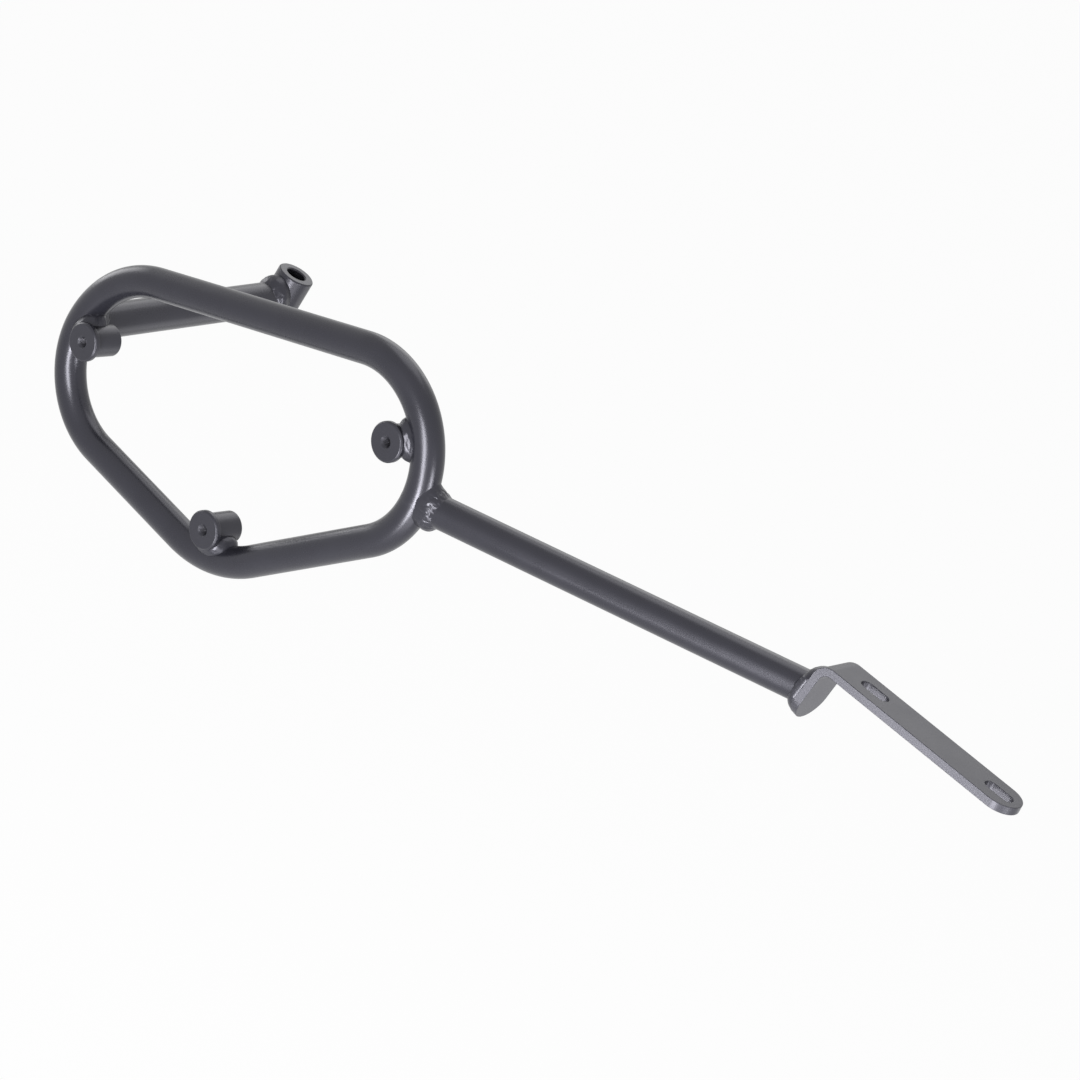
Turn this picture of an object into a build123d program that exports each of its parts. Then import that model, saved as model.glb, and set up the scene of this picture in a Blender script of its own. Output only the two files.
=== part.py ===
"""Pannier frame: a welded steel side carrier that holds a soft bag beside a motorbike's tail.

+X points forward, +Y outward from the bike and +Z up. The origin lies on the rear bracket's
top face, midway between its two slots. All sizes are in millimetres and degrees.
"""

import os
from math import acos, atan2, cos, degrees, hypot, radians, sin, tan

from build123d import *

# Rear bracket, one length of flat bar
bar_width = 20.0
bar_thickness = 4.0
slot_width = 6.5
slot_length = 15.0
slot_spacing = 73.0
slot_end_margin = 4.0
slot_bend_margin = 9.5
bend_inner_radius = 5.0
bar_edge_radius = 0.5

# Tab at the bracket's front end, which takes the strut
tab_lean = 9.5
tab_above_strut = 4.0
tab_below_strut = 4.8

# Loop of bent tube, in a plane parallel to XZ; the front bend opens into a wider brow above it
tube_d = 16.0
tube_wall = 2.0
loop_offset = 42.0
loop_ahead = 314.0
loop_below = 49.5
rear_bend_r = 46.0
lower_bend_ahead = 69.5
lower_bend_below = 39.5
lower_bend_r = 62.5
front_bend_ahead = 139.8
front_bend_below = 53.1
front_bend_r = 43.5
brow_bend_r = 56.5
brow_bend_from = 10.5
closing_gap = 2.0

# Turned bosses for the bag holder's bolts
boss_length = 20.0
boss_body_d = 16.0
boss_face_d = 19.5
boss_face_thickness = 3.0
boss_edge = 0.8
boss_seat = 0.8
thread_core_d = 4.2
thread_depth = 15.0
thread_mouth = 1.0
thread_mouth_angle = 90.0
front_boss_rise = 8.8
lower_boss_set_back = 19.8
rear_boss_rise = 36.0

# Brace tube from the front bend to the mounting sleeve
brace_d = 18.0
brace_wall = 2.0
brace_angle = 6.0
brace_setback = 4.0
brace_inward = 146.0
brace_forward = 3.9
brace_upward = 6.6

# Mounting sleeve for one bolt
sleeve_lean_back = 6.0
sleeve_lean_in = 5.0
sleeve_d = 20.0
sleeve_bore_d = 10.5
sleeve_length = 30.0
sleeve_edge = 0.6

# Strut tube from the rear bend to the bracket's tab
strut_d = 16.0
strut_wall = 2.0
strut_dip = 2.0
strut_setback = 4.0

# Weld beads: reach along the piece, and height above its surface
boss_bead_reach = 11.5
boss_bead_height = 7.5
loop_bead_sink = 1.0
brace_bead_reach = 5.0
brace_bead_height = 3.5
sleeve_bead_reach = 3.0
sleeve_bead_height = 5.0
strut_bead_reach = 5.0
strut_bead_height = 3.4
tab_bead_reach = 4.7
tab_bead_height = 4.4

# Values that follow from the sizes above
tube_r = tube_d / 2
boss_r = boss_body_d / 2
thread_r = thread_core_d / 2
brace_r = brace_d / 2
sleeve_r = sleeve_d / 2
strut_r = strut_d / 2
rear_bend = (loop_ahead, -loop_below, rear_bend_r)
lower_bend = (loop_ahead + lower_bend_ahead, -loop_below - lower_bend_below, lower_bend_r)
front_bend = (loop_ahead + front_bend_ahead, -loop_below - front_bend_below, front_bend_r)
brow_drop = brow_bend_r - front_bend_r
brow_bend = (
    front_bend[0] - brow_drop * cos(radians(brow_bend_from)),
    front_bend[1] - brow_drop * sin(radians(brow_bend_from)),
    brow_bend_r,
)
strut_angle = 180 + strut_dip
loop_plane = Plane.XZ.offset(-loop_offset)


def bend_point(bend, angle, inset=0.0):
    """Point on a bend's centre line, or inset from it, in the loop's own plane."""
    x, z, r = bend
    return (x + (r - inset) * cos(radians(angle)), z + (r - inset) * sin(radians(angle)))


def run_angle(bend_a, bend_b):
    """Direction of the outward normal on the straight run between two bends."""
    across = bend_b[0] - bend_a[0]
    up = bend_b[1] - bend_a[1]
    return degrees(atan2(up, across) - acos((bend_a[2] - bend_b[2]) / hypot(across, up)))


def in_loop(point):
    """Place a point of the loop's plane in space."""
    return Vector(point[0], loop_offset, point[1])


def axis_plane(start, end):
    """Plane across a straight tube at its start, looking along the tube."""
    along = end - start
    return Plane(origin=start, x_dir=along.cross(Vector(0, 0, 1)), z_dir=along)


# Centre line of the loop, from one side of the closing joint round to the other
diagonal_angle = run_angle(rear_bend, lower_bend) % 360
bottom_angle = run_angle(lower_bend, front_bend) % 360
top_angle = run_angle(brow_bend, rear_bend) % 360
half_gap = degrees(closing_gap / 2 / rear_bend_r)
joint_start = strut_angle + half_gap
joint_end = strut_angle - half_gap

with BuildLine(loop_plane) as loop_path:
    CenterArc(rear_bend[:2], rear_bend_r, joint_start, diagonal_angle - joint_start)
    Line(bend_point(rear_bend, diagonal_angle), bend_point(lower_bend, diagonal_angle))
    CenterArc(lower_bend[:2], lower_bend_r, diagonal_angle, bottom_angle - diagonal_angle)
    Line(bend_point(lower_bend, bottom_angle), bend_point(front_bend, bottom_angle))
    CenterArc(front_bend[:2], front_bend_r, bottom_angle, brow_bend_from + 360 - bottom_angle)
    CenterArc(brow_bend[:2], brow_bend_r, brow_bend_from, top_angle - brow_bend_from)
    Line(bend_point(brow_bend, top_angle), bend_point(rear_bend, top_angle))
    CenterArc(rear_bend[:2], rear_bend_r, top_angle, joint_end - top_angle)

with BuildLine(loop_plane) as joint_path:
    CenterArc(rear_bend[:2], rear_bend_r, joint_end, 2 * half_gap)

# Bent loop tube
with BuildPart() as loop_tube:
    with BuildSketch(Plane(origin=loop_path.wire() @ 0, z_dir=loop_path.wire() % 0)):
        Circle(tube_r)
        Circle(tube_r - tube_wall, mode=Mode.SUBTRACT)
    sweep(path=loop_path.wire())

# Butt weld that closes the loop, dressed flush with the tube
with BuildPart() as loop_closing_weld:
    with BuildSketch(Plane(origin=joint_path.wire() @ 0, z_dir=joint_path.wire() % 0)):
        Circle(tube_r)
        Circle(tube_r - tube_wall, mode=Mode.SUBTRACT)
    sweep(path=joint_path.wire())

# Outer form of the closed loop, which shapes every piece that seats on it
with BuildPart() as loop_form:
    with BuildSketch(Plane(origin=loop_path.wire() @ 0, z_dir=loop_path.wire() % 0)):
        Circle(tube_r)
    sweep(path=loop_path.wire())
    with BuildSketch(Plane(origin=joint_path.wire() @ 0, z_dir=joint_path.wire() % 0)):
        Circle(tube_r)
    sweep(path=joint_path.wire())

# Turned bosses, each seated in the inside of a bend, with its bead
boss_inset = tube_r + boss_r - boss_seat
boss_back = loop_offset - tube_r
boss_front = boss_back + boss_length
boss_places = {
    "front_boss": (front_bend, front_boss_rise),
    "lower_boss": (lower_bend, -90 - lower_boss_set_back),
    "rear_boss": (rear_bend, 180 - rear_boss_rise),
}
pieces = {}
boss_forms = []

for boss_name, (bend, angle) in boss_places.items():
    boss_x, boss_z = bend_point(bend, angle, boss_inset)
    turning_plane = Plane(origin=(boss_x, 0, boss_z), x_dir=(1, 0, 0), z_dir=(0, 0, 1))
    face_plane = Plane(origin=(boss_x, boss_front, boss_z), z_dir=(0, 1, 0))

    with BuildPart() as boss_blank:
        with BuildSketch(turning_plane):
            with BuildLine():
                Polyline(
                    (0, boss_back),
                    (boss_r - boss_edge, boss_back),
                    (boss_r, boss_back + boss_edge),
                    (boss_r, boss_front - boss_face_thickness),
                    (boss_face_d / 2, boss_front - boss_face_thickness),
                    (boss_face_d / 2, boss_front - boss_edge),
                    (boss_face_d / 2 - boss_edge, boss_front),
                    (0, boss_front),
                    close=True,
                )
            make_face()
        revolve(axis=Axis((boss_x, 0, boss_z), (0, 1, 0)))
        add(loop_form.part, mode=Mode.SUBTRACT)

    with BuildPart() as boss:
        add(boss_blank.part)
        with Locations(face_plane):
            CounterSinkHole(thread_r, thread_r + thread_mouth, thread_depth, thread_mouth_angle)

    seat_point = bend_point(bend, angle, tube_r - boss_seat / 2)
    along_tube = Vector(-sin(radians(angle)), 0, cos(radians(angle)))
    bead_plane = Plane(origin=in_loop(seat_point), x_dir=along_tube, z_dir=(0, 1, 0))

    with BuildPart() as boss_weld:
        with BuildSketch(bead_plane):
            with BuildLine():
                EllipticalCenterArc((0, 0), boss_bead_reach, boss_bead_height, arc_size=180)
                Line((-boss_bead_reach, 0), (boss_bead_reach, 0))
            make_face()
        revolve(axis=Axis(in_loop(seat_point), along_tube))
        add(loop_form.part, mode=Mode.SUBTRACT)
        add(boss_blank.part, mode=Mode.SUBTRACT)

    pieces[boss_name] = boss.part
    pieces[boss_name + "_weld"] = boss_weld.part
    boss_forms.extend([boss_blank.part, boss_weld.part])

# Everything already welded to the loop when the straight tubes are coped
with BuildPart() as seated_form:
    add(loop_form.part)
    add(boss_forms)

# Mounting sleeve, a thick tube that leans with the bike's frame bolt
brace_start = in_loop(bend_point(front_bend, brace_angle))
sleeve_centre = brace_start + Vector(brace_forward, -brace_inward, brace_upward)
sleeve_up = Vector(-tan(radians(sleeve_lean_back)), -tan(radians(sleeve_lean_in)), 1)
sleeve_plane = Plane(origin=sleeve_centre, x_dir=(1, 0, tan(radians(sleeve_lean_back))), z_dir=sleeve_up)

with BuildPart(sleeve_plane) as mounting_sleeve:
    Cylinder(sleeve_r, sleeve_length)
    Cylinder(sleeve_bore_d / 2, sleeve_length, mode=Mode.SUBTRACT)
    chamfer(mounting_sleeve.edges().filter_by(GeomType.CIRCLE), sleeve_edge)

with BuildPart(sleeve_plane) as sleeve_form:
    Cylinder(sleeve_r, sleeve_length + 2 * brace_d)

# Brace tube, coped to the loop at one end and to the sleeve at the other
brace_plane = axis_plane(brace_start, sleeve_centre)
brace_run = (sleeve_centre - brace_start).length

with BuildPart() as brace_form:
    with BuildSketch(brace_plane.offset(brace_setback)):
        Circle(brace_r)
    extrude(amount=brace_run - brace_setback)

with BuildPart() as brace_tube:
    with BuildSketch(brace_plane.offset(brace_setback)):
        Circle(brace_r)
        Circle(brace_r - brace_wall, mode=Mode.SUBTRACT)
    extrude(amount=brace_run - brace_setback)
    add(seated_form.part, mode=Mode.SUBTRACT)
    add(sleeve_form.part, mode=Mode.SUBTRACT)

# Rear bracket: slotted flat with a round end, then the bend and the round-ended tab
bar_end_x = -(slot_spacing / 2 + slot_length / 2 + slot_end_margin - bar_width / 2)
bar_bend_x = slot_spacing / 2 + slot_length / 2 + slot_bend_margin
bend_outer_radius = bend_inner_radius + bar_thickness
tab_normal = Vector(cos(radians(tab_lean)), 0, sin(radians(tab_lean)))
tab_down = Vector(sin(radians(tab_lean)), 0, -cos(radians(tab_lean)))
tab_top = Vector(bar_bend_x, 0, -bend_outer_radius) + tab_normal * bend_outer_radius
tab_rise = tab_above_strut + strut_r
strut_end = tab_top + tab_down * tab_rise
tab_round_drop = tab_below_strut + strut_r - bar_width / 2
tab_face = Plane(origin=strut_end, x_dir=(0, 1, 0), z_dir=tab_normal)

with BuildSketch(tab_face) as tab_outline:
    with Locations((0, (tab_rise - tab_round_drop) / 2)):
        Rectangle(bar_width, tab_rise + tab_round_drop)
    with Locations((0, -tab_round_drop)):
        Circle(bar_width / 2)

with BuildPart() as rear_bracket:
    with BuildSketch(Plane.XY):
        with Locations(((bar_bend_x + bar_end_x) / 2, 0)):
            Rectangle(bar_bend_x - bar_end_x, bar_width)
        with Locations((bar_end_x, 0)):
            Circle(bar_width / 2)
    extrude(amount=-bar_thickness)
    with BuildSketch(Plane.XZ):
        with BuildLine():
            bend_centre = (bar_bend_x, -bend_outer_radius)
            outer_bend = CenterArc(bend_centre, bend_outer_radius, 90, tab_lean - 90)
            inner_bend = CenterArc(bend_centre, bend_inner_radius, 90, tab_lean - 90)
            Line(outer_bend @ 0, inner_bend @ 0)
            Line(outer_bend @ 1, inner_bend @ 1)
        make_face()
    extrude(amount=bar_width / 2, both=True)
    extrude(tab_outline.sketch, amount=-bar_thickness)
    fillet(rear_bracket.edges().filter_by(Axis.X), bar_edge_radius)
    with BuildSketch(Plane.XY):
        with Locations((-slot_spacing / 2, 0), (slot_spacing / 2, 0)):
            SlotOverall(slot_length, slot_width)
    extrude(amount=-bar_thickness, mode=Mode.SUBTRACT)

# Strut tube, coped to the loop and cut flush with the tab
strut_start = in_loop(bend_point(rear_bend, strut_angle))
strut_plane = axis_plane(strut_start, strut_end)
strut_run = (strut_end - strut_start).length + strut_d

with BuildPart() as strut_form:
    with BuildSketch(strut_plane.offset(strut_setback)):
        Circle(strut_r)
    extrude(amount=strut_run - strut_setback)
    split(bisect_by=tab_face, keep=Keep.TOP)

with BuildPart() as strut_tube:
    with BuildSketch(strut_plane.offset(strut_setback)):
        Circle(strut_r)
        Circle(strut_r - strut_wall, mode=Mode.SUBTRACT)
    extrude(amount=strut_run - strut_setback)
    split(bisect_by=tab_face, keep=Keep.TOP)
    add(seated_form.part, mode=Mode.SUBTRACT)

# Bead round the brace where it meets the loop
with BuildPart() as brace_loop_weld:
    with BuildSketch(Plane(origin=brace_start, x_dir=brace_plane.z_dir, z_dir=brace_plane.x_dir)):
        with Locations((tube_r - loop_bead_sink, brace_r)):
            Ellipse(brace_bead_reach, brace_bead_height)
    revolve(axis=Axis(brace_start, brace_plane.z_dir))
    add(seated_form.part, mode=Mode.SUBTRACT)
    add(brace_form.part, mode=Mode.SUBTRACT)

# Heavy bead round the brace where it meets the sleeve
with BuildPart() as brace_sleeve_weld:
    with BuildSketch(Plane(origin=sleeve_centre, x_dir=-brace_plane.z_dir, z_dir=brace_plane.x_dir)):
        with Locations((sleeve_r, brace_r)):
            Ellipse(sleeve_bead_reach, sleeve_bead_height)
    revolve(axis=Axis(sleeve_centre, brace_plane.z_dir))
    add(sleeve_form.part, mode=Mode.SUBTRACT)
    add(brace_form.part, mode=Mode.SUBTRACT)

# Bead round the strut where it meets the loop
with BuildPart() as strut_loop_weld:
    with BuildSketch(Plane(origin=strut_start, x_dir=strut_plane.z_dir, z_dir=strut_plane.x_dir)):
        with Locations((tube_r - loop_bead_sink, strut_r)):
            Ellipse(strut_bead_reach, strut_bead_height)
    revolve(axis=Axis(strut_start, strut_plane.z_dir))
    add(seated_form.part, mode=Mode.SUBTRACT)
    add(strut_form.part, mode=Mode.SUBTRACT)

# Bead round the strut on the tab, kept within the tab's outline
bead_room = 2 * tab_bead_reach

with BuildPart() as strut_bracket_weld:
    with BuildSketch(Plane(origin=strut_end, x_dir=tab_down, z_dir=(0, -1, 0))):
        with BuildLine():
            EllipticalCenterArc((strut_r, 0), tab_bead_height, tab_bead_reach, arc_size=180)
            Line((strut_r - tab_bead_height, 0), (strut_r + tab_bead_height, 0))
        make_face()
    revolve(axis=Axis(strut_end, tab_normal))
    add(strut_form.part, mode=Mode.SUBTRACT)
    extrude(tab_outline.sketch, amount=bead_room, mode=Mode.INTERSECT)

pieces["loop_tube"] = loop_tube.part
pieces["loop_closing_weld"] = loop_closing_weld.part
pieces["brace_tube"] = brace_tube.part
pieces["brace_loop_weld"] = brace_loop_weld.part
pieces["mounting_sleeve"] = mounting_sleeve.part
pieces["brace_sleeve_weld"] = brace_sleeve_weld.part
pieces["strut_tube"] = strut_tube.part
pieces["strut_loop_weld"] = strut_loop_weld.part
pieces["rear_bracket"] = rear_bracket.part
pieces["strut_bracket_weld"] = strut_bracket_weld.part

os.makedirs("parts", exist_ok=True)
for name, piece in pieces.items():
    piece.label = name
    export_step(piece, f"parts/{name}.step")
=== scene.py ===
"""Pannier frame: a welded steel side carrier, coated satin black, for a bag beside a motorbike's tail."""

from math import acos, atan2, cos, hypot, pi, radians, sin, tan

import bmesh
import bpy
from mathutils import Matrix, Vector
from mathutils.geometry import tessellate_polygon


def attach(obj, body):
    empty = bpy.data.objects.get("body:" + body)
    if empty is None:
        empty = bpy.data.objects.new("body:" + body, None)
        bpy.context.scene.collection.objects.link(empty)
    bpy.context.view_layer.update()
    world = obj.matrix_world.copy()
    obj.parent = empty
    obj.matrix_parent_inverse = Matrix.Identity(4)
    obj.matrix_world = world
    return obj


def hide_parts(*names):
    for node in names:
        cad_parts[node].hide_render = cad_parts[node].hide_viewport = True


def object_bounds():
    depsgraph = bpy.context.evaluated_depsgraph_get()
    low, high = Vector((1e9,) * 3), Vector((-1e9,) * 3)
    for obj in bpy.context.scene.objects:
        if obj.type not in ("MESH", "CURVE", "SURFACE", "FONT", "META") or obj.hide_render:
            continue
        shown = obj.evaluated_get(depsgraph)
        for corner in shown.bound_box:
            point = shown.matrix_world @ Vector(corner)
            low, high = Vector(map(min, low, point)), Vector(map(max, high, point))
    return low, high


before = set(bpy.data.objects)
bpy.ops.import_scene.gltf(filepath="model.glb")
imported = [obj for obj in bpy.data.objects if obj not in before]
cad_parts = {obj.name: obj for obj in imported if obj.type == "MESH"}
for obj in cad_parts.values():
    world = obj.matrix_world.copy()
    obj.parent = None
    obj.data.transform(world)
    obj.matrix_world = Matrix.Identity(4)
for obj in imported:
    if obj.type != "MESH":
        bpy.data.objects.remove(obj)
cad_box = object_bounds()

# Loop tube: one length of 16 mm steel tube, drawn round its bends and butted end to end.
# Every other piece is welded to it, and then the whole carrier is powder coated satin black.
mm = 0.001
tube_r = 8 * mm
loop_offset = 42 * mm
rear_bend = (Vector((314, -49.5)) * mm, 46 * mm)
lower_bend = (Vector((383.5, -89)) * mm, 62.5 * mm)
front_bend = (Vector((453.8, -102.6)) * mm, 43.5 * mm)
brow_r = 56.5 * mm
brow_turn = radians(10.5)
brow_out = Vector((cos(brow_turn), sin(brow_turn)))
brow_bend = (front_bend[0] - (brow_r - front_bend[1]) * brow_out, brow_r)
bend_slack = 0.9995
tube_facets = 96
bend_facets = 72
cloud_scale = 70.0
peel_scale = 520.0
grain_scale = 2600.0
cloud_share = 0.6
grain_share = 0.25
satin_drop = 0.06
satin_cloud = 0.08
satin_grain = 0.06
cool_sheen = (0.90, 0.89, 1.0, 1.0)


class Wire:
    """An output in a node tree. Sums on it add Math nodes, and node() adds any other node."""

    def __init__(self, tree, socket=None):
        self.tree = tree
        self.socket = socket

    def node(self, kind, settings=None, sockets=None, out=0):
        made = self.tree.nodes.new(kind)
        for name, value in (settings or {}).items():
            setattr(made, name, value)
        for key, value in (sockets or {}).items():
            if isinstance(value, Wire):
                self.tree.links.new(value.socket, made.inputs[key])
            else:
                made.inputs[key].default_value = value
        return Wire(self.tree, made.outputs[out])

    def math(self, operation, first, second=0.0):
        return self.node("ShaderNodeMath", {"operation": operation}, {0: first, 1: second})

    def __add__(self, other):
        return self.math("ADD", self, other)

    def __radd__(self, other):
        return self.math("ADD", other, self)

    def __sub__(self, other):
        return self.math("SUBTRACT", self, other)

    def __rsub__(self, other):
        return self.math("SUBTRACT", other, self)

    def __mul__(self, other):
        return self.math("MULTIPLY", self, other)

    def __rmul__(self, other):
        return self.math("MULTIPLY", other, self)

    def fraction(self):
        return self.math("FRACT", self)

    def sine(self):
        return self.math("SINE", self)


def powder_coat(name, dark, pale, roughness, peel_depth, under=None):
    """Powder coat: a cool near-black that clouds a little, with orange peel and a fine satin grain."""
    finish = bpy.data.materials.new(name)
    finish.use_nodes = True
    tree = finish.node_tree
    shader = tree.nodes["Principled BSDF"]
    start = Wire(tree)
    place = start.node("ShaderNodeTexCoord", out="Object")
    cloud = start.node("ShaderNodeTexNoise", None, {"Vector": place, "Scale": cloud_scale, "Detail": 4.0})
    peel = start.node("ShaderNodeTexNoise", None, {"Vector": place, "Scale": peel_scale, "Detail": 2.0})
    grain = start.node("ShaderNodeTexNoise", None, {"Vector": place, "Scale": grain_scale, "Detail": 3.0})
    tint = start.node(
        "ShaderNodeMix",
        {"data_type": "RGBA"},
        {0: cloud * cloud_share + grain * (1 - cloud_share), 6: (*dark, 1.0), 7: (*pale, 1.0)},
        out=2,
    )
    height = peel * peel_depth + grain * (grain_share * peel_depth)
    if under:
        height = height + under(start, place)
    bump = start.node("ShaderNodeBump", None, {"Height": height, "Distance": 1.0, "Strength": 1.0})
    satin = roughness - satin_drop + cloud * satin_cloud + grain * satin_grain
    tree.links.new(tint.socket, shader.inputs["Base Color"])
    tree.links.new(satin.socket, shader.inputs["Roughness"])
    tree.links.new(bump.socket, shader.inputs["Normal"])
    shader.inputs["Specular IOR Level"].default_value = 0.5
    shader.inputs["Specular Tint"].default_value = cool_sheen
    return finish


def run_normal(bend, next_bend):
    """Outward direction of the straight run between one bend and the next."""
    across = next_bend[0] - bend[0]
    turn = atan2(across.y, across.x) - acos((bend[1] - next_bend[1]) / across.length)
    return Vector((cos(turn), sin(turn)))


def run_corner(bend, before, after):
    """Point where the two runs at a bend would meet if the tube weren't rounded there."""
    reach_before = before.dot(bend[0]) + bend[1]
    reach_after = after.dot(bend[0]) + bend[1]
    area = before.x * after.y - before.y * after.x
    across = (reach_before * after.y - reach_after * before.y) / area
    up = (before.x * reach_after - after.x * reach_before) / area
    return Vector((across, loop_offset, up))


def node_tree(name, sizes):
    """Geometry tree with a mesh in and out, and a named input for each size."""
    tree = bpy.data.node_groups.new(name, "GeometryNodeTree")
    tree.interface.new_socket("Geometry", in_out="INPUT", socket_type="NodeSocketGeometry")
    for size, kind in sizes.items():
        tree.interface.new_socket(size, in_out="INPUT", socket_type="NodeSocket" + kind)
    tree.interface.new_socket("Geometry", in_out="OUTPUT", socket_type="NodeSocketGeometry")
    entry = tree.nodes.new("NodeGroupInput")
    return tree, {socket.name: Wire(tree, socket) for socket in entry.outputs if socket.name}


def end_tree(tree, shape, finish):
    """Close a tree with real faces in one finish."""
    real = shape.node("GeometryNodeRealizeInstances", None, {"Geometry": shape})
    coated = real.node("GeometryNodeSetMaterial", None, {"Geometry": real, "Material": finish})
    tree.links.new(coated.socket, tree.nodes.new("NodeGroupOutput").inputs[0])


def grow(piece, tree, sizes):
    """Run a tree on a piece at the given sizes, and keep the result as its plain mesh."""
    modifier = piece.modifiers.new(tree.name, "NODES")
    modifier.node_group = tree
    for item in tree.interface.items_tree:
        if item.in_out == "INPUT" and item.name in sizes:
            modifier[item.identifier] = sizes[item.name]
    bpy.context.view_layer.update()
    graph = bpy.context.evaluated_depsgraph_get()
    blank = piece.data
    piece.data = bpy.data.meshes.new_from_object(piece.evaluated_get(graph))
    piece.modifiers.remove(modifier)
    bpy.data.meshes.remove(blank)
    piece.data.name = piece.name


def show(name, mesh):
    """Object for a finished mesh, at the origin."""
    piece = bpy.data.objects.new(name, mesh)
    bpy.context.scene.collection.objects.link(piece)
    return piece


def weld_in(piece, node):
    """Tie a piece to the carrier, in place of its solid."""
    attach(piece, "root")
    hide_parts(node)


tube_coat = powder_coat("tube_coat", (0.0075, 0.0075, 0.0103), (0.0128, 0.0128, 0.0172), 0.27, 0.000012)

bent_tube, size = node_tree(
    "bent_tube", {"Tube Radius": "Float", "Tube Facets": "Int", "Bend Facets": "Int", "Finish": "Material"}
)
line = size["Geometry"].node("GeometryNodeMeshToCurve", None, {"Mesh": size["Geometry"]})
bend_radius = line.node("GeometryNodeInputNamedAttribute", {"data_type": "FLOAT"}, {"Name": "bend_radius"})
line = line.node(
    "GeometryNodeFilletCurve",
    {"mode": "POLY"},
    {"Curve": line, "Count": size["Bend Facets"], "Radius": bend_radius},
)
section = line.node(
    "GeometryNodeCurvePrimitiveCircle",
    None,
    {"Resolution": size["Tube Facets"], "Radius": size["Tube Radius"]},
)
wall = line.node("GeometryNodeCurveToMesh", None, {"Curve": line, "Profile Curve": section})
wall = wall.node("GeometryNodeSetShadeSmooth", None, {"Geometry": wall})
end_tree(bent_tube, wall, size["Finish"])

bends = [rear_bend, lower_bend, front_bend, brow_bend]
normals = [
    run_normal(rear_bend, lower_bend),
    run_normal(lower_bend, front_bend),
    brow_out,
    run_normal(brow_bend, rear_bend),
]
corners = [run_corner(bends[i], normals[i - 1], normals[i]) for i in range(4)]
loop_mesh = bpy.data.meshes.new("loop_tube")
loop_mesh.from_pydata(corners, [(0, 1), (1, 2), (2, 3), (3, 0)], [])
bend_radii = [rear_bend[1], lower_bend[1], bend_slack * front_bend[1], bend_slack * brow_bend[1]]
loop_mesh.attributes.new("bend_radius", "FLOAT", "POINT").data.foreach_set("value", bend_radii)
loop = show("loop", loop_mesh)
grow(loop, bent_tube, {
    "Tube Radius": tube_r, "Tube Facets": tube_facets, "Bend Facets": bend_facets, "Finish": tube_coat,
})
weld_in(loop, "loop_tube")

# Closing weld: the butt joint of the loop's two ends, welded right round and dressed down.
# It sits at the back of the rear bend, where the strut hides it, and stands a hair proud.
weld_angle = radians(182)
closing_width = 2 * mm
closing_crown = 0.05 * mm
closing_root = 0.4 * mm
closing_facets = 96


def loop_point(bend, angle, inset=0.0):
    """Point on a bend's centre line, or inset from it."""
    reach = bend[1] - inset
    return Vector((bend[0].x + reach * cos(angle), loop_offset, bend[0].y + reach * sin(angle)))


def skin(name, rings, finish, joined=False, notes=None, crease=40):
    """Closed skin over rings of points. Notes are values kept on the points for trees and finishes."""
    shape = bmesh.new()
    layers = {note: shape.verts.layers.float.new(note) for note in notes or {}}
    grid = []
    for index, ring in enumerate(rings):
        grid.append([shape.verts.new(point) for point in ring])
        for note, layer in layers.items():
            for corner, value in zip(grid[-1], notes[note][index]):
                corner[layer] = value
    count = len(grid[0])
    pairs = list(zip(grid, grid[1:]))
    if joined:
        pairs.append((grid[-1], grid[0]))
    for low, high in pairs:
        for k in range(count):
            after = (k + 1) % count
            shape.faces.new((low[k], low[after], high[after], high[k]))
    bmesh.ops.remove_doubles(shape, verts=shape.verts, dist=1e-7)
    bmesh.ops.recalc_face_normals(shape, faces=shape.faces)
    mesh = bpy.data.meshes.new(name)
    shape.to_mesh(mesh)
    shape.free()
    mesh.shade_smooth()
    mesh.set_sharp_from_angle(angle=radians(crease))
    mesh.materials.append(finish)
    return show(name, mesh)


def closing_ring(offset, lift):
    """One ring of points round the loop tube, off the joint's middle and above the tube."""
    angle = weld_angle + offset / rear_bend[1]
    middle = loop_point(rear_bend, angle)
    outward = Vector((cos(angle), 0, sin(angle)))
    ring = []
    for k in range(closing_facets):
        turn = 2 * pi * k / closing_facets
        ring.append(middle + (tube_r + lift) * (cos(turn) * outward + sin(turn) * Vector((0, 1, 0))))
    return ring


weld_coat = powder_coat("weld_coat", (0.008, 0.008, 0.0108), (0.0145, 0.0145, 0.0194), 0.29, 0.000020)

closing_steps = [-1, -0.6, -0.2, 0.2, 0.6, 1]
closing_rings = [closing_ring(t * closing_width / 2, closing_crown * (1 - t * t)) for t in closing_steps]
closing_rings.append(closing_ring(closing_width / 2, -closing_root))
closing_rings.append(closing_ring(-closing_width / 2, -closing_root))
closing = skin("closing_weld", closing_rings, weld_coat, joined=True)
weld_in(closing, "loop_closing_weld")

# Bosses: three alike, turned from bar with a wider face and tapped M5 for the bag holder's bolts.
# Each is set side-on against the inside of a bend, with its face square to the loop.
boss_length = 20 * mm
boss_r = 8 * mm
face_r = 9.75 * mm
face_thickness = 3 * mm
boss_edge = 0.8 * mm
boss_seat = 0.8 * mm
boss_ease = 0.25 * mm
tap_r = 2.1 * mm
mouth_r = 3.1 * mm
thread_depth = 15 * mm
thread_cut = 0.4 * mm
thread_pitch = 0.8 * mm
thread_runout = 2 * mm
rows_per_turn = 10
turning_facets = 96
tool_mark_pitch = 0.3 * mm
tool_mark_depth = 0.0000012
boss_places = {
    "front_boss": (front_bend, radians(8.8)),
    "lower_boss": (lower_bend, radians(-109.8)),
    "rear_boss": (rear_bend, radians(144)),
}


def eased(profile, ease, steps=4, hold=1.8):
    """A turned profile with its corners rounded, and a point held each side that keeps the flats flat."""
    points = [profile[0]]
    for before, corner, after in zip(profile, profile[1:], profile[2:]):
        back = (before - corner).normalized() * ease
        ahead = (after - corner).normalized() * ease
        points.append(corner + hold * back)
        for k in range(steps + 1):
            t = k / steps
            points.append(corner + (1 - t) ** 2 * back + t * t * ahead)
        points.append(corner + hold * ahead)
    return points + [profile[-1]]


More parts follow.
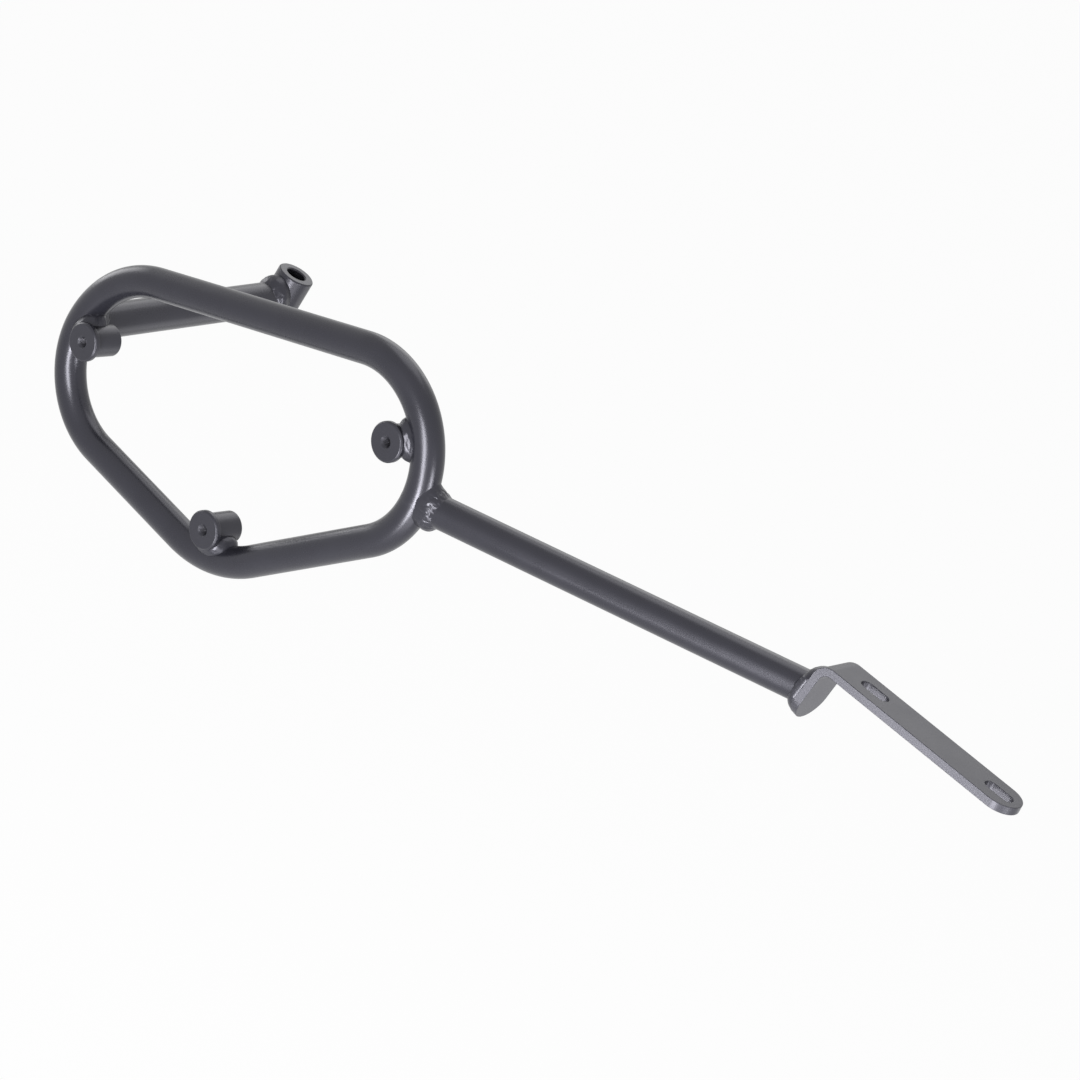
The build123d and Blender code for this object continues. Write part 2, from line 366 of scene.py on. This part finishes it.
def turned(name, rows, origin, axis, finish):
    """Piece turned about an axis. Each row is (radius or its rule by angle, height along the axis)."""
    axis = axis.normalized()
    side = axis.orthogonal().normalized()
    other = axis.cross(side)
    turns = [2 * pi * k / turning_facets for k in range(turning_facets)]
    spokes = [cos(turn) * side + sin(turn) * other for turn in turns]
    rings = []
    path = []
    walked = 0.0
    last = None
    for radius, height in rows:
        reach = [radius(turn) if callable(radius) else radius for turn in turns]
        rings.append([origin + height * axis + r * spoke for r, spoke in zip(reach, spokes)])
        if last:
            walked += hypot(reach[0] - last[0], height - last[1])
        last = (reach[0], height)
        path.append([walked] * turning_facets)
    return skin(name, rings, finish, notes={"tool_path": path})


def tool_marks(start, place):
    """Faint rings that the turning tool leaves under the coat."""
    path = start.node("ShaderNodeAttribute", {"attribute_name": "tool_path"}, out="Fac")
    return (path * (2 * pi / tool_mark_pitch)).sine() * tool_mark_depth


def thread_row(depth):
    """Radius of the tapped hole at one depth: the mouth's cone, the V thread, then the run-out."""
    cone = mouth_r - depth
    fade = min(1.0, max(0.0, (thread_depth - depth) / thread_runout - 0.5))

    def radius(angle):
        phase = (depth / thread_pitch - angle / (2 * pi)) % 1.0
        return max(cone, tap_r + fade * thread_cut * (1 - abs(2 * phase - 1)))

    return radius


turned_coat = powder_coat(
    "turned_coat", (0.0088, 0.0088, 0.0116), (0.0145, 0.0145, 0.0190), 0.31, 0.000010, under=tool_marks
)

boss_back = loop_offset - tube_r
boss_front = boss_back + boss_length
boss_profile = eased(
    [
        Vector((0, boss_back)),
        Vector((boss_r - boss_edge, boss_back)),
        Vector((boss_r, boss_back + boss_edge)),
        Vector((boss_r, boss_front - face_thickness)),
        Vector((face_r, boss_front - face_thickness)),
        Vector((face_r, boss_front - boss_edge)),
        Vector((face_r - boss_edge, boss_front)),
        Vector((mouth_r, boss_front)),
    ],
    boss_ease,
)
thread_rows = round(thread_depth / thread_pitch) * rows_per_turn
for boss_name, (bend, angle) in boss_places.items():
    seat = loop_point(bend, angle, tube_r + boss_r - boss_seat)
    rows = [(point.x, point.y) for point in boss_profile]
    for k in range(1, thread_rows + 1):
        depth = thread_depth * k / thread_rows
        rows.append((thread_row(depth), boss_front - depth))
    rows.append((0.0, boss_front - thread_depth))
    boss = turned("turned_" + boss_name, rows, Vector((seat.x, 0, seat.z)), Vector((0, 1, 0)), turned_coat)
    weld_in(boss, boss_name)

# Boss welds: a short, lumpy bead laid by hand round the spot where each boss touches the tube.
# The coat runs over its ripples, which keep a soft edge.
boss_bead_reach = 11.5 * mm
boss_bead_height = 7.5 * mm
boss_bead_front = 10.6 * mm
boss_bead_rows = 33
boss_seed = 1.3
boss_seed_step = 3.7
bead_columns = 220
ripple_bow = 0.45
ripple_level = 0.33
lump_scale = 230.0
lump_wander = 3.0

weld_ripples, size = node_tree("weld_ripples", {
    "Ripples": "Float", "Ripple Depth": "Float", "Lump Depth": "Float", "Lump Scale": "Float",
    "Seed": "Float", "Finish": "Material",
})
bead = size["Geometry"]
along, across, crown = [
    bead.node("GeometryNodeInputNamedAttribute", {"data_type": "FLOAT"}, {"Name": note})
    for note in ("along", "across", "crown")
]
lumps = bead.node(
    "ShaderNodeTexNoise",
    {"noise_dimensions": "4D"},
    {
        "Vector": bead.node("GeometryNodeInputPosition"),
        "W": size["Seed"],
        "Scale": size["Lump Scale"],
        "Detail": 2.0,
    },
)
step = (along * size["Ripples"] + across * across * ripple_bow + (lumps - 0.5) * lump_wander).fraction()
ripple = ripple_level - (step * 2.0 - 1.0) * (step * 2.0 - 1.0)
lift = (ripple * size["Ripple Depth"] + (lumps - 0.5) * size["Lump Depth"]) * crown
normal = bead.node("GeometryNodeInputNormal")
push = bead.node("ShaderNodeVectorMath", {"operation": "SCALE"}, {"Vector": normal, "Scale": lift})
bead = bead.node("GeometryNodeSetPosition", None, {"Geometry": bead, "Offset": push})
end_tree(weld_ripples, bead, size["Finish"])


def lay_ripples(piece, ripples, depth, lumps, seed):
    """Lay the welder's ripples and lumps on a plain bead."""
    grow(piece, weld_ripples, {
        "Ripples": float(ripples), "Ripple Depth": depth, "Lump Depth": lumps,
        "Lump Scale": lump_scale, "Seed": seed, "Finish": weld_coat,
    })


for number, (boss_name, (bend, angle)) in enumerate(boss_places.items()):
    middle = loop_point(bend, angle, tube_r - boss_seat / 2)
    inward = Vector((-cos(angle), 0, -sin(angle)))
    sideways = Vector((0, 1, 0))
    lengthways = inward.cross(sideways)
    rings = []
    notes = {"along": [], "across": [], "crown": []}
    for j in range(boss_bead_rows):
        rise = pi * j / (boss_bead_rows - 1) - pi / 2
        ring = []
        for k in range(bead_columns):
            turn = 2 * pi * k / bead_columns
            spread = boss_bead_front if sin(turn) > 0 else boss_bead_height
            round_out = boss_bead_height * cos(turn) * inward + spread * sin(turn) * sideways
            ring.append(middle + boss_bead_reach * sin(rise) * lengthways + cos(rise) * round_out)
        rings.append(ring)
        notes["along"].append([k / bead_columns for k in range(bead_columns)])
        notes["across"].append([sin(rise)] * bead_columns)
        notes["crown"].append([cos(rise)] * bead_columns)
    boss_weld = skin(boss_name + "_bead", rings, weld_coat, notes=notes, crease=180)
    seed = boss_seed_step * number + boss_seed
    lay_ripples(boss_weld, ripples=16, depth=0.11 * mm, lumps=1.8 * mm, seed=seed)
    weld_in(boss_weld, boss_name + "_weld")

# Mounting sleeve: a short piece of thick tube, bored for one M10 bolt and faced at both ends.
# It leans with the bike's own bolt and is welded across the brace's inner end.
brace_start = loop_point(front_bend, radians(6))
sleeve_middle = brace_start + Vector((3.9, -146, 6.6)) * mm
sleeve_axis = Vector((-tan(radians(6)), -tan(radians(5)), 1)).normalized()
sleeve_r = 10 * mm
bore_r = 5.25 * mm
sleeve_length = 30 * mm
sleeve_edge = 0.6 * mm
sleeve_ease = 0.2 * mm
half_sleeve = sleeve_length / 2
sleeve_corners = [
    Vector((sleeve_r, 0)),
    Vector((sleeve_r, half_sleeve - sleeve_edge)),
    Vector((sleeve_r - sleeve_edge, half_sleeve)),
    Vector((bore_r + sleeve_edge, half_sleeve)),
    Vector((bore_r, half_sleeve - sleeve_edge)),
    Vector((bore_r, -half_sleeve + sleeve_edge)),
    Vector((bore_r + sleeve_edge, -half_sleeve)),
    Vector((sleeve_r - sleeve_edge, -half_sleeve)),
    Vector((sleeve_r, -half_sleeve + sleeve_edge)),
    Vector((sleeve_r, 0)),
]
sleeve_rows = [(point.x, point.y) for point in eased(sleeve_corners, sleeve_ease)]
sleeve = turned("bolt_sleeve", sleeve_rows, sleeve_middle, sleeve_axis, turned_coat)
weld_in(sleeve, "mounting_sleeve")

# Brace: a straight piece of 18 mm tube from the front bend to the sleeve, inwards to the bike.
# Both ends are coped, so that they sit round the loop and round the sleeve.
brace_r = 9 * mm
brace_wall = 2 * mm
brace_setback = 4 * mm
cope_facets = 96
cope_halvings = 40
cope_reach = 5


def bend_core(bend):
    """Rule for the point of a bend's centre line that lies nearest."""
    middle = Vector((bend[0].x, loop_offset, bend[0].y))

    def core(point):
        spoke = point - middle
        spoke.y = 0
        return middle + bend[1] * spoke.normalized()

    return core


def sleeve_core(point):
    """Point of the sleeve's axis that lies nearest."""
    return sleeve_middle + (point - sleeve_middle).dot(sleeve_axis) * sleeve_axis


def clear_of(core, radius):
    """Rule for how far a point lies outside a round piece."""
    return lambda point: (point - core(point)).length - radius


def cope(line, clear, near, far):
    """Distance along a line at which it comes clear of another piece."""
    if clear(line(near)) > 0:
        return near
    for _ in range(cope_halvings):
        middle = (near + far) / 2
        if clear(line(middle)) > 0:
            far = middle
        else:
            near = middle
    return far


def tube_line(start, end, radius, turn):
    """Line along the wall of a straight tube, at one angle round it."""
    axis = (end - start).normalized()
    side = axis.cross(Vector((0, 0, 1))).normalized()
    up = side.cross(axis)
    edge = radius * (cos(turn) * side + sin(turn) * up)
    return lambda distance: start + distance * axis + edge


def coped_tube(name, start, end, radius, wall, clear_start, setback, clear_end, overrun, finish):
    """Straight tube whose two ends are cut to the pieces that it meets."""
    rings = []
    for reach in (radius, radius - wall):
        first = []
        last = []
        for k in range(cope_facets):
            turn = 2 * pi * k / cope_facets
            out = tube_line(start, end, reach, turn)
            home = tube_line(end, start, reach, pi - turn)
            first.append(out(cope(out, clear_start, setback, cope_reach * radius)))
            last.append(home(cope(home, clear_end, -overrun, cope_reach * radius)))
        rings.extend([first, last] if not rings else [last, first])
    return skin(name, rings, finish, joined=True)


brace = coped_tube(
    "brace", brace_start, sleeve_middle, brace_r, brace_wall,
    clear_of(bend_core(front_bend), tube_r), brace_setback, clear_of(sleeve_core, sleeve_r), 0.0, tube_coat,
)
weld_in(brace, "brace_tube")

# Brace welds: a bead right round the brace at the loop, and a heavier one at the sleeve.
# Both fill the coped corner, laid by hand, and their lumps show through the coat.
brace_bead = {
    "over": 5 * mm, "along": 5 * mm, "flush": 8 * mm, "fill": 3 * mm, "step": 0.0, "droop": 0.0,
}
sleeve_bead = {
    "over": 5.6 * mm, "along": 6.5 * mm, "flush": 10 * mm, "fill": 5.6 * mm, "step": 0.0, "droop": 0.0,
}
bead_toe = 0.15 * mm
bead_root = 0.8 * mm
bead_rows = 24


def corner_bead(name, start, end, radius, setback, core, core_r, bead):
    """Bead in the corner between a straight tube and the round piece that it is coped to. Its face runs
    over that piece and along the tube, and its fill makes it swell out of the corner. Where the two walls
    lie flush it starts a step along the tube and ends further on. Its droop makes it fuller below."""
    axis = (end - start).normalized()
    clear = clear_of(core, core_r)
    seam = []
    for k in range(bead_columns):
        wall = tube_line(start, end, radius, 2 * pi * k / bead_columns)
        seam.append(wall(cope(wall, clear, setback, cope_reach * radius)))
    grid = []
    for k, corner in enumerate(seam):
        lie = (seam[(k + 1) % bead_columns] - seam[k - 1]).normalized()
        normal = (corner - core(corner)).normalized()
        foot = start + (corner - start).dot(axis) * axis
        out = (corner - foot).normalized()
        over = normal.cross(lie)
        if over.dot(out - axis) < 0:
            over.negate()
        square = 1 - max(0.0, normal.dot(out))
        more = 1 + bead["droop"] * max(0.0, -out.z) ** 2
        crest = (normal + out).normalized()
        along = square * bead["along"] + (1 - square) * bead["flush"]
        tube_toe = corner + along * axis - bead_toe * out
        far_toe = corner + square * bead["over"] * over + (1 - square) * bead["step"] * axis
        far_toe = core(far_toe) + (core_r - bead_toe) * (far_toe - core(far_toe)).normalized()
        full = more * bead["fill"] * (0.5 + 0.5 * square)
        pulled = square * corner + (1 - square) * (far_toe + tube_toe) / 2
        column = []
        for j in range(bead_rows - 1):
            t = j / (bead_rows - 2)
            hollow = (1 - t) ** 2 * far_toe + 2 * t * (1 - t) * pulled + t * t * tube_toe
            swell = square * 2 * t * (1 - t) + (1 - square) * sin(pi * t) ** 2 / 2
            column.append(hollow + swell * full * crest)
        grid.append(column + [corner - bead_root * crest])
    rings = [list(row) for row in zip(*grid)]
    notes = {"along": [], "across": [], "crown": []}
    for j in range(bead_rows):
        t = min(j / (bead_rows - 2), 1.0)
        notes["along"].append([k / bead_columns for k in range(bead_columns)])
        notes["across"].append([2 * t - 1] * bead_columns)
        notes["crown"].append([sin(pi * t * t)] * bead_columns)
    return skin(name, rings, weld_coat, joined=True, notes=notes, crease=180)


brace_weld = corner_bead(
    "brace_bead", brace_start, sleeve_middle, brace_r, brace_setback,
    bend_core(front_bend), tube_r, brace_bead,
)
lay_ripples(brace_weld, ripples=22, depth=0.14 * mm, lumps=1.0 * mm, seed=11.1)
weld_in(brace_weld, "brace_loop_weld")

sleeve_weld = corner_bead(
    "sleeve_bead", sleeve_middle, brace_start, brace_r, 0.0, sleeve_core, sleeve_r, sleeve_bead
)
lay_ripples(sleeve_weld, ripples=20, depth=0.06 * mm, lumps=1.7 * mm, seed=15.6)
weld_in(sleeve_weld, "brace_sleeve_weld")

# Rear bracket: one length of 20 by 4 mm flat bar, rounded at both ends and pierced with two slots.
# Its front end is bent down into a tab, and the strut is welded to that.
bar_half = 10 * mm
bar_thickness = 4 * mm
bar_edge = 0.3 * mm
slot_edge = 0.3 * mm
slot_r = 3.25 * mm
slot_half = 7.5 * mm
slot_places = (-36.5 * mm, 36.5 * mm)
bar_end = -38 * mm
bar_bend = 53.5 * mm
bend_outer = 9 * mm
bend_turn = radians(80.5)
strut_r = 8 * mm
tab_rise = 12 * mm
tab_round_drop = 2.8 * mm
edge_steps = 4
round_steps = 40
bend_steps = 24
roll_depth = 0.0000012
roll_scale = (14.0, 900.0, 14.0)

bend_run = (bend_outer - bar_thickness / 2) * bend_turn
tab_end = bar_bend + bend_run + tab_rise + tab_round_drop
tab_normal = Vector((sin(bend_turn), 0, cos(bend_turn)))
tab_down = Vector((cos(bend_turn), 0, -sin(bend_turn)))
bend_middle = Vector((bar_bend, 0, -bend_outer))


def rolled_grain(start, place):
    """Long, shallow streaks that rolling leaves along the bar."""
    drawn = start.node("ShaderNodeMapping", None, {"Vector": place, "Scale": roll_scale})
    streaks = start.node("ShaderNodeTexNoise", None, {"Vector": drawn, "Scale": 1.0, "Detail": 3.0})
    return streaks * roll_depth


def folded(run, side, depth, normal):
    """Where a point of the flat blank, and its normal, come to when the tab is bent."""
    turn = min(max(run - bar_bend, 0.0) / bend_run, 1.0) * bend_turn
    out = Vector((sin(turn), 0, cos(turn)))
    ahead = Vector((cos(turn), 0, -sin(turn)))
    straight = run if run < bar_bend else bar_bend
    past = max(run - bar_bend - bend_run, 0.0)
    place = Vector((straight, 0, -bend_outer)) + (bend_outer + depth) * out + past * ahead
    place.y = side
    return place, normal.x * ahead + Vector((0, normal.y, 0)) + normal.z * out


def round_ended(low, high, radius, stops, sense):
    """Outline with two half-round ends: points and the normals that look out of the steel."""
    points = []
    for stop in stops:
        points.append((Vector((stop, radius)), Vector((0, sense))))
    for k in range(1, round_steps):
        turn = pi / 2 - pi * k / round_steps
        out = Vector((cos(turn), sin(turn)))
        points.append((Vector((high, 0)) + radius * out, sense * out))
    for stop in reversed(stops):
        points.append((Vector((stop, -radius)), Vector((0, -sense))))
    for k in range(1, round_steps):
        turn = -pi / 2 - pi * k / round_steps
        out = Vector((cos(turn), sin(turn)))
        points.append((Vector((low, 0)) + radius * out, sense * out))
    return points


bar_stops = [bar_end] + [bar_bend + bend_run * k / bend_steps for k in range(bend_steps + 1)] + [tab_end]
outlines = [(bar_end, tab_end, bar_half, bar_stops, 1, bar_edge)]
for middle in slot_places:
    low, high = middle - slot_half + slot_r, middle + slot_half - slot_r
    outlines.append((low, high, slot_r, [low, high], -1, slot_edge))

edge_turns = [pi / 2 * k / edge_steps for k in range(edge_steps + 1)]
blank = bmesh.new()
blank_normals = []
rims = []
for low, high, radius, stops, sense, edge in outlines:
    rows = [(edge * (1 - sin(t)), -edge * (1 - cos(t)), sin(t), cos(t)) for t in edge_turns]
    rows += [(inset, -bar_thickness - depth, flat, -up) for inset, depth, flat, up in reversed(rows)]
    grid = []
    for inset, depth, flat, up in rows:
        ring = []
        for point, out in round_ended(low, high, radius - sense * inset, stops, sense):
            place, normal = folded(point.x, point.y, depth, Vector((flat * out.x, flat * out.y, up)))
            ring.append(blank.verts.new(place))
            blank_normals.append(normal)
        grid.append(ring)
    for upper, lower in zip(grid, grid[1:]):
        for k in range(len(upper)):
            after = (k + 1) % len(upper)
            blank.faces.new((upper[k], upper[after], lower[after], lower[k]))
    rim_line = [point for point, out in round_ended(low, high, radius - sense * edge, stops, sense)]
    rims.append((grid[0], grid[-1], rim_line))

sides = len(bar_stops)
flat_part = [0, 1] + list(range(2 * sides + round_steps - 3, len(rims[0][0])))
tab_round = list(range(sides - 1, sides + round_steps))
for face in (0, 1):
    rim = [outline[face] for outline in rims]
    corners = [rim[0][k] for k in flat_part] + rim[1] + rim[2]
    loops = [[rims[0][2][k].to_3d() for k in flat_part]]
    loops += [[point.to_3d() for point in outline[2]] for outline in rims[1:]]
    for trio in tessellate_polygon(loops):
        blank.faces.new([corners[k] for k in trio])
    last = sides + round_steps - 1
    for k in range(1, sides - 1):
        mirror = last + sides - 1 - k
        blank.faces.new((rim[0][k], rim[0][k + 1], rim[0][mirror - 1], rim[0][mirror]))
    blank.faces.new([rim[0][k] for k in tab_round])
bmesh.ops.recalc_face_normals(blank, faces=blank.faces)
bracket_mesh = bpy.data.meshes.new("slotted_bracket")
blank.to_mesh(bracket_mesh)
blank.free()
bracket_mesh.shade_smooth()
bracket_mesh.normals_split_custom_set_from_vertices(blank_normals)

bar_coat = powder_coat(
    "bar_coat", (0.016, 0.016, 0.020), (0.024, 0.024, 0.030), 0.40, 0.0000025, under=rolled_grain
)
bracket_mesh.materials.append(bar_coat)
bracket = show("slotted_bracket", bracket_mesh)
weld_in(bracket, "rear_bracket")

# Strut: a long straight piece of 16 mm tube from the rear bend back to the bracket's tab.
# It is coped round the loop at its front end, a little short so that the weld fills the gap,
# and cut flush with the tab at its back end.
strut_wall = 2 * mm
strut_setback = 4 * mm
strut_gap = 4 * mm
strut_start = loop_point(rear_bend, weld_angle)
strut_end = bend_middle + bend_outer * tab_normal + tab_rise * tab_down


def clear_of_tab(point):
    """How far a point lies in front of the tab."""
    return (point - strut_end).dot(tab_normal)


strut = coped_tube(
    "strut", strut_start, strut_end, strut_r, strut_wall,
    clear_of(bend_core(rear_bend), tube_r + strut_gap), strut_setback, clear_of_tab, 2 * strut_r, tube_coat,
)
weld_in(strut, "strut_tube")

# Strut welds: a low bead right round the strut at the loop, and a full one round it on the tab.
# The tab's bead is dressed back where it reaches the edges of the bar.
strut_bead = {
    "over": 4.4 * mm, "along": 6.6 * mm, "flush": 12 * mm, "fill": 2.8 * mm, "step": -0.4 * mm, "droop": 1.3,
}
tab_bead_reach = 4.7 * mm
tab_bead_height = 4.4 * mm
tab_bead_trim = 0.3 * mm
room_steps = 60

strut_weld = corner_bead(
    "strut_bead", strut_start, strut_end, strut_r, strut_setback, bend_core(rear_bend), tube_r, strut_bead
)
lay_ripples(strut_weld, ripples=15, depth=0.36 * mm, lumps=0.9 * mm, seed=21.4)
weld_in(strut_weld, "strut_loop_weld")


def room_on_tab(point, out):
    """How far a bead may spread over the tab before it reaches the bar's edge."""
    side = point.y
    drop = (point - strut_end).dot(tab_down)
    step_side = out.y
    step_drop = out.dot(tab_down)
    spread = 0.0
    while spread < tab_bead_height:
        here_side = side + spread * step_side
        here_drop = drop + spread * step_drop - tab_round_drop
        reach = abs(here_side) if here_drop < 0 else hypot(here_side, here_drop)
        if reach > bar_half - tab_bead_trim:
            break
        spread += tab_bead_height / room_steps
    return max(spread, tab_bead_trim)


tab_rings = []
tab_notes = {"along": [], "across": [], "crown": []}
seam_points = []
for k in range(bead_columns):
    turn = 2 * pi * k / bead_columns
    wall = tube_line(strut_end, strut_start, strut_r, turn)
    point = wall(cope(wall, clear_of_tab, -2 * strut_r, 2 * strut_r))
    out = (point - strut_end).normalized()
    seam_points.append((point, out, room_on_tab(point, out)))
for j in range(bead_rows):
    turn_across = 2 * pi * j / bead_rows
    rise = sin(turn_across)
    lift = rise * (tab_bead_reach if rise > 0 else bead_root)
    flat = cos(turn_across)
    ring = []
    for point, out, room in seam_points:
        spread = flat * (room if flat > 0 else 2 * bead_root)
        ring.append(point + spread * out + lift * tab_normal)
    tab_rings.append(ring)
    tab_notes["along"].append([k / bead_columns for k in range(bead_columns)])
    tab_notes["across"].append([flat] * bead_columns)
    tab_notes["crown"].append([max(0.0, rise) * max(0.0, 1 - flat * flat)] * bead_columns)
tab_bead = skin("tab_bead", tab_rings, weld_coat, joined=True, notes=tab_notes, crease=180)
lay_ripples(tab_bead, ripples=22, depth=0.18 * mm, lumps=1.5 * mm, seed=27.9)
weld_in(tab_bead, "strut_bracket_weld")

# Studio: a wide white floor well below the carrier, nine soft boxes and an even white surround.
# The camera stands where the carrier is seen from above, behind and outside, a little rolled.
camera_right = Vector((-0.67129, -0.63433, 0.38340))
camera_up = Vector((0.55918, -0.09390, 0.82371))
camera_back = Vector((-0.48651, 0.76734, 0.41774))
camera_place = Vector((-578.0, 1266.2, 640.9)) * mm
camera_lens = 118.60
floor_drop = 1.1
floor_size = 40.0
floor_grey = (0.9, 0.9, 0.9, 1.0)
white = (1.0, 1.0, 1.0, 1.0)
floor_white_share = 0.95
surround_level = 0.45
bracket_middle = Vector((0, 0, 0))
carrier_middle = (cad_box[0] + cad_box[1]) / 2

floor_mesh = bpy.data.meshes.new("studio_floor")
floor_level = cad_box[0].z - floor_drop
floor_mesh.from_pydata(
    [(x * floor_size, y * floor_size, floor_level) for x, y in ((-1, -1), (1, -1), (1, 1), (-1, 1))],
    [],
    [(0, 1, 2, 3)],
)
floor_paint = bpy.data.materials.new("floor_paint")
floor_paint.use_nodes = True
floor_tree = floor_paint.node_tree
floor_tree.nodes.remove(floor_tree.nodes["Principled BSDF"])
start = Wire(floor_tree)


def seen(start):
    """One for rays that show the surround itself: from the camera, off gloss or through glass."""
    straight, gloss, glass = [
        start.node("ShaderNodeLightPath", out=way)
        for way in ("Is Camera Ray", "Is Glossy Ray", "Is Transmission Ray")
    ]
    return start.math("MAXIMUM", start.math("MAXIMUM", straight, gloss), glass)


matt = start.node("ShaderNodeBsdfDiffuse", None, {"Color": floor_grey})
glow = start.node("ShaderNodeEmission", None, {"Color": white, "Strength": 1.0})
mixed = start.node("ShaderNodeMixShader", None, {0: seen(start) * floor_white_share, 1: matt, 2: glow})
floor_tree.links.new(mixed.socket, floor_tree.nodes["Material Output"].inputs["Surface"])
floor_mesh.materials.append(floor_paint)
floor = show("studio_floor", floor_mesh)

surround = bpy.data.worlds.new("surround")
bpy.context.scene.world = surround
surround.use_nodes = True
background = surround.node_tree.nodes["Background"]
start = Wire(surround.node_tree)
strength = surround_level + seen(start) * (1 - surround_level)
surround.node_tree.links.new(strength.socket, background.inputs["Strength"])
background.inputs["Color"].default_value = white


def soft_box(name, aim, stand_off, width, height, brightness, spread=180):
    """Rectangular lamp that looks at a point, as bright all over as its brightness says."""
    lamp = bpy.data.lights.new(name, "AREA")
    lamp.shape = "RECTANGLE"
    lamp.size = width
    lamp.size_y = height
    lamp.energy = brightness * pi * width * height
    lamp.spread = radians(spread)
    holder = bpy.data.objects.new(name, lamp)
    bpy.context.scene.collection.objects.link(holder)
    holder.location = aim + stand_off
    holder.rotation_euler = (-stand_off).to_track_quat("-Z", "Y").to_euler()


soft_box("side_box", carrier_middle, 1.5 * Vector((-0.27, 0.95, 0.10)), 0.44, 0.9, 20.0)
soft_box("low_box", carrier_middle, 1.5 * Vector((-0.36, 0.84, -0.38)), 0.36, 0.62, 34.0)
soft_box("rear_box", carrier_middle, 1.5 * Vector((-0.985, 0.13, -0.06)), 0.4, 0.6, 18.0)
soft_box("front_box", carrier_middle, 1.5 * Vector((0.98, -0.02, 0.08)), 0.6, 0.6, 2.6)
soft_box("under_box", carrier_middle, 1.5 * Vector((-0.69, 0.42, -0.52)), 0.9, 0.7, 2.8)
soft_box("edge_box", bracket_middle, Vector((0.227, 0.504, -0.255)), 0.2, 0.2, 0.6, spread=24)
soft_box("tab_box", bracket_middle, Vector((-0.33, -1.24, -0.75)), 0.7, 0.7, 0.75)
soft_box("back_box", carrier_middle, 1.6 * Vector((0.4865, -0.7673, 0.50)), 1.2, 0.8, 1.3)
soft_box("top_box", carrier_middle, 1.6 * Vector((0.30, -0.30, 0.90)), 1.0, 1.0, 1.6)

camera = bpy.data.cameras.new("camera")
camera.lens = camera_lens
camera.sensor_width = 36
camera.clip_end = 50
stand = bpy.data.objects.new("camera", camera)
bpy.context.scene.collection.objects.link(stand)
turn = Matrix((camera_right, camera_up, camera_back)).transposed().to_4x4()
stand.matrix_world = Matrix.Translation(camera_place) @ turn
bpy.context.scene.camera = stand
bpy.context.scene.view_settings.view_transform = "Standard"
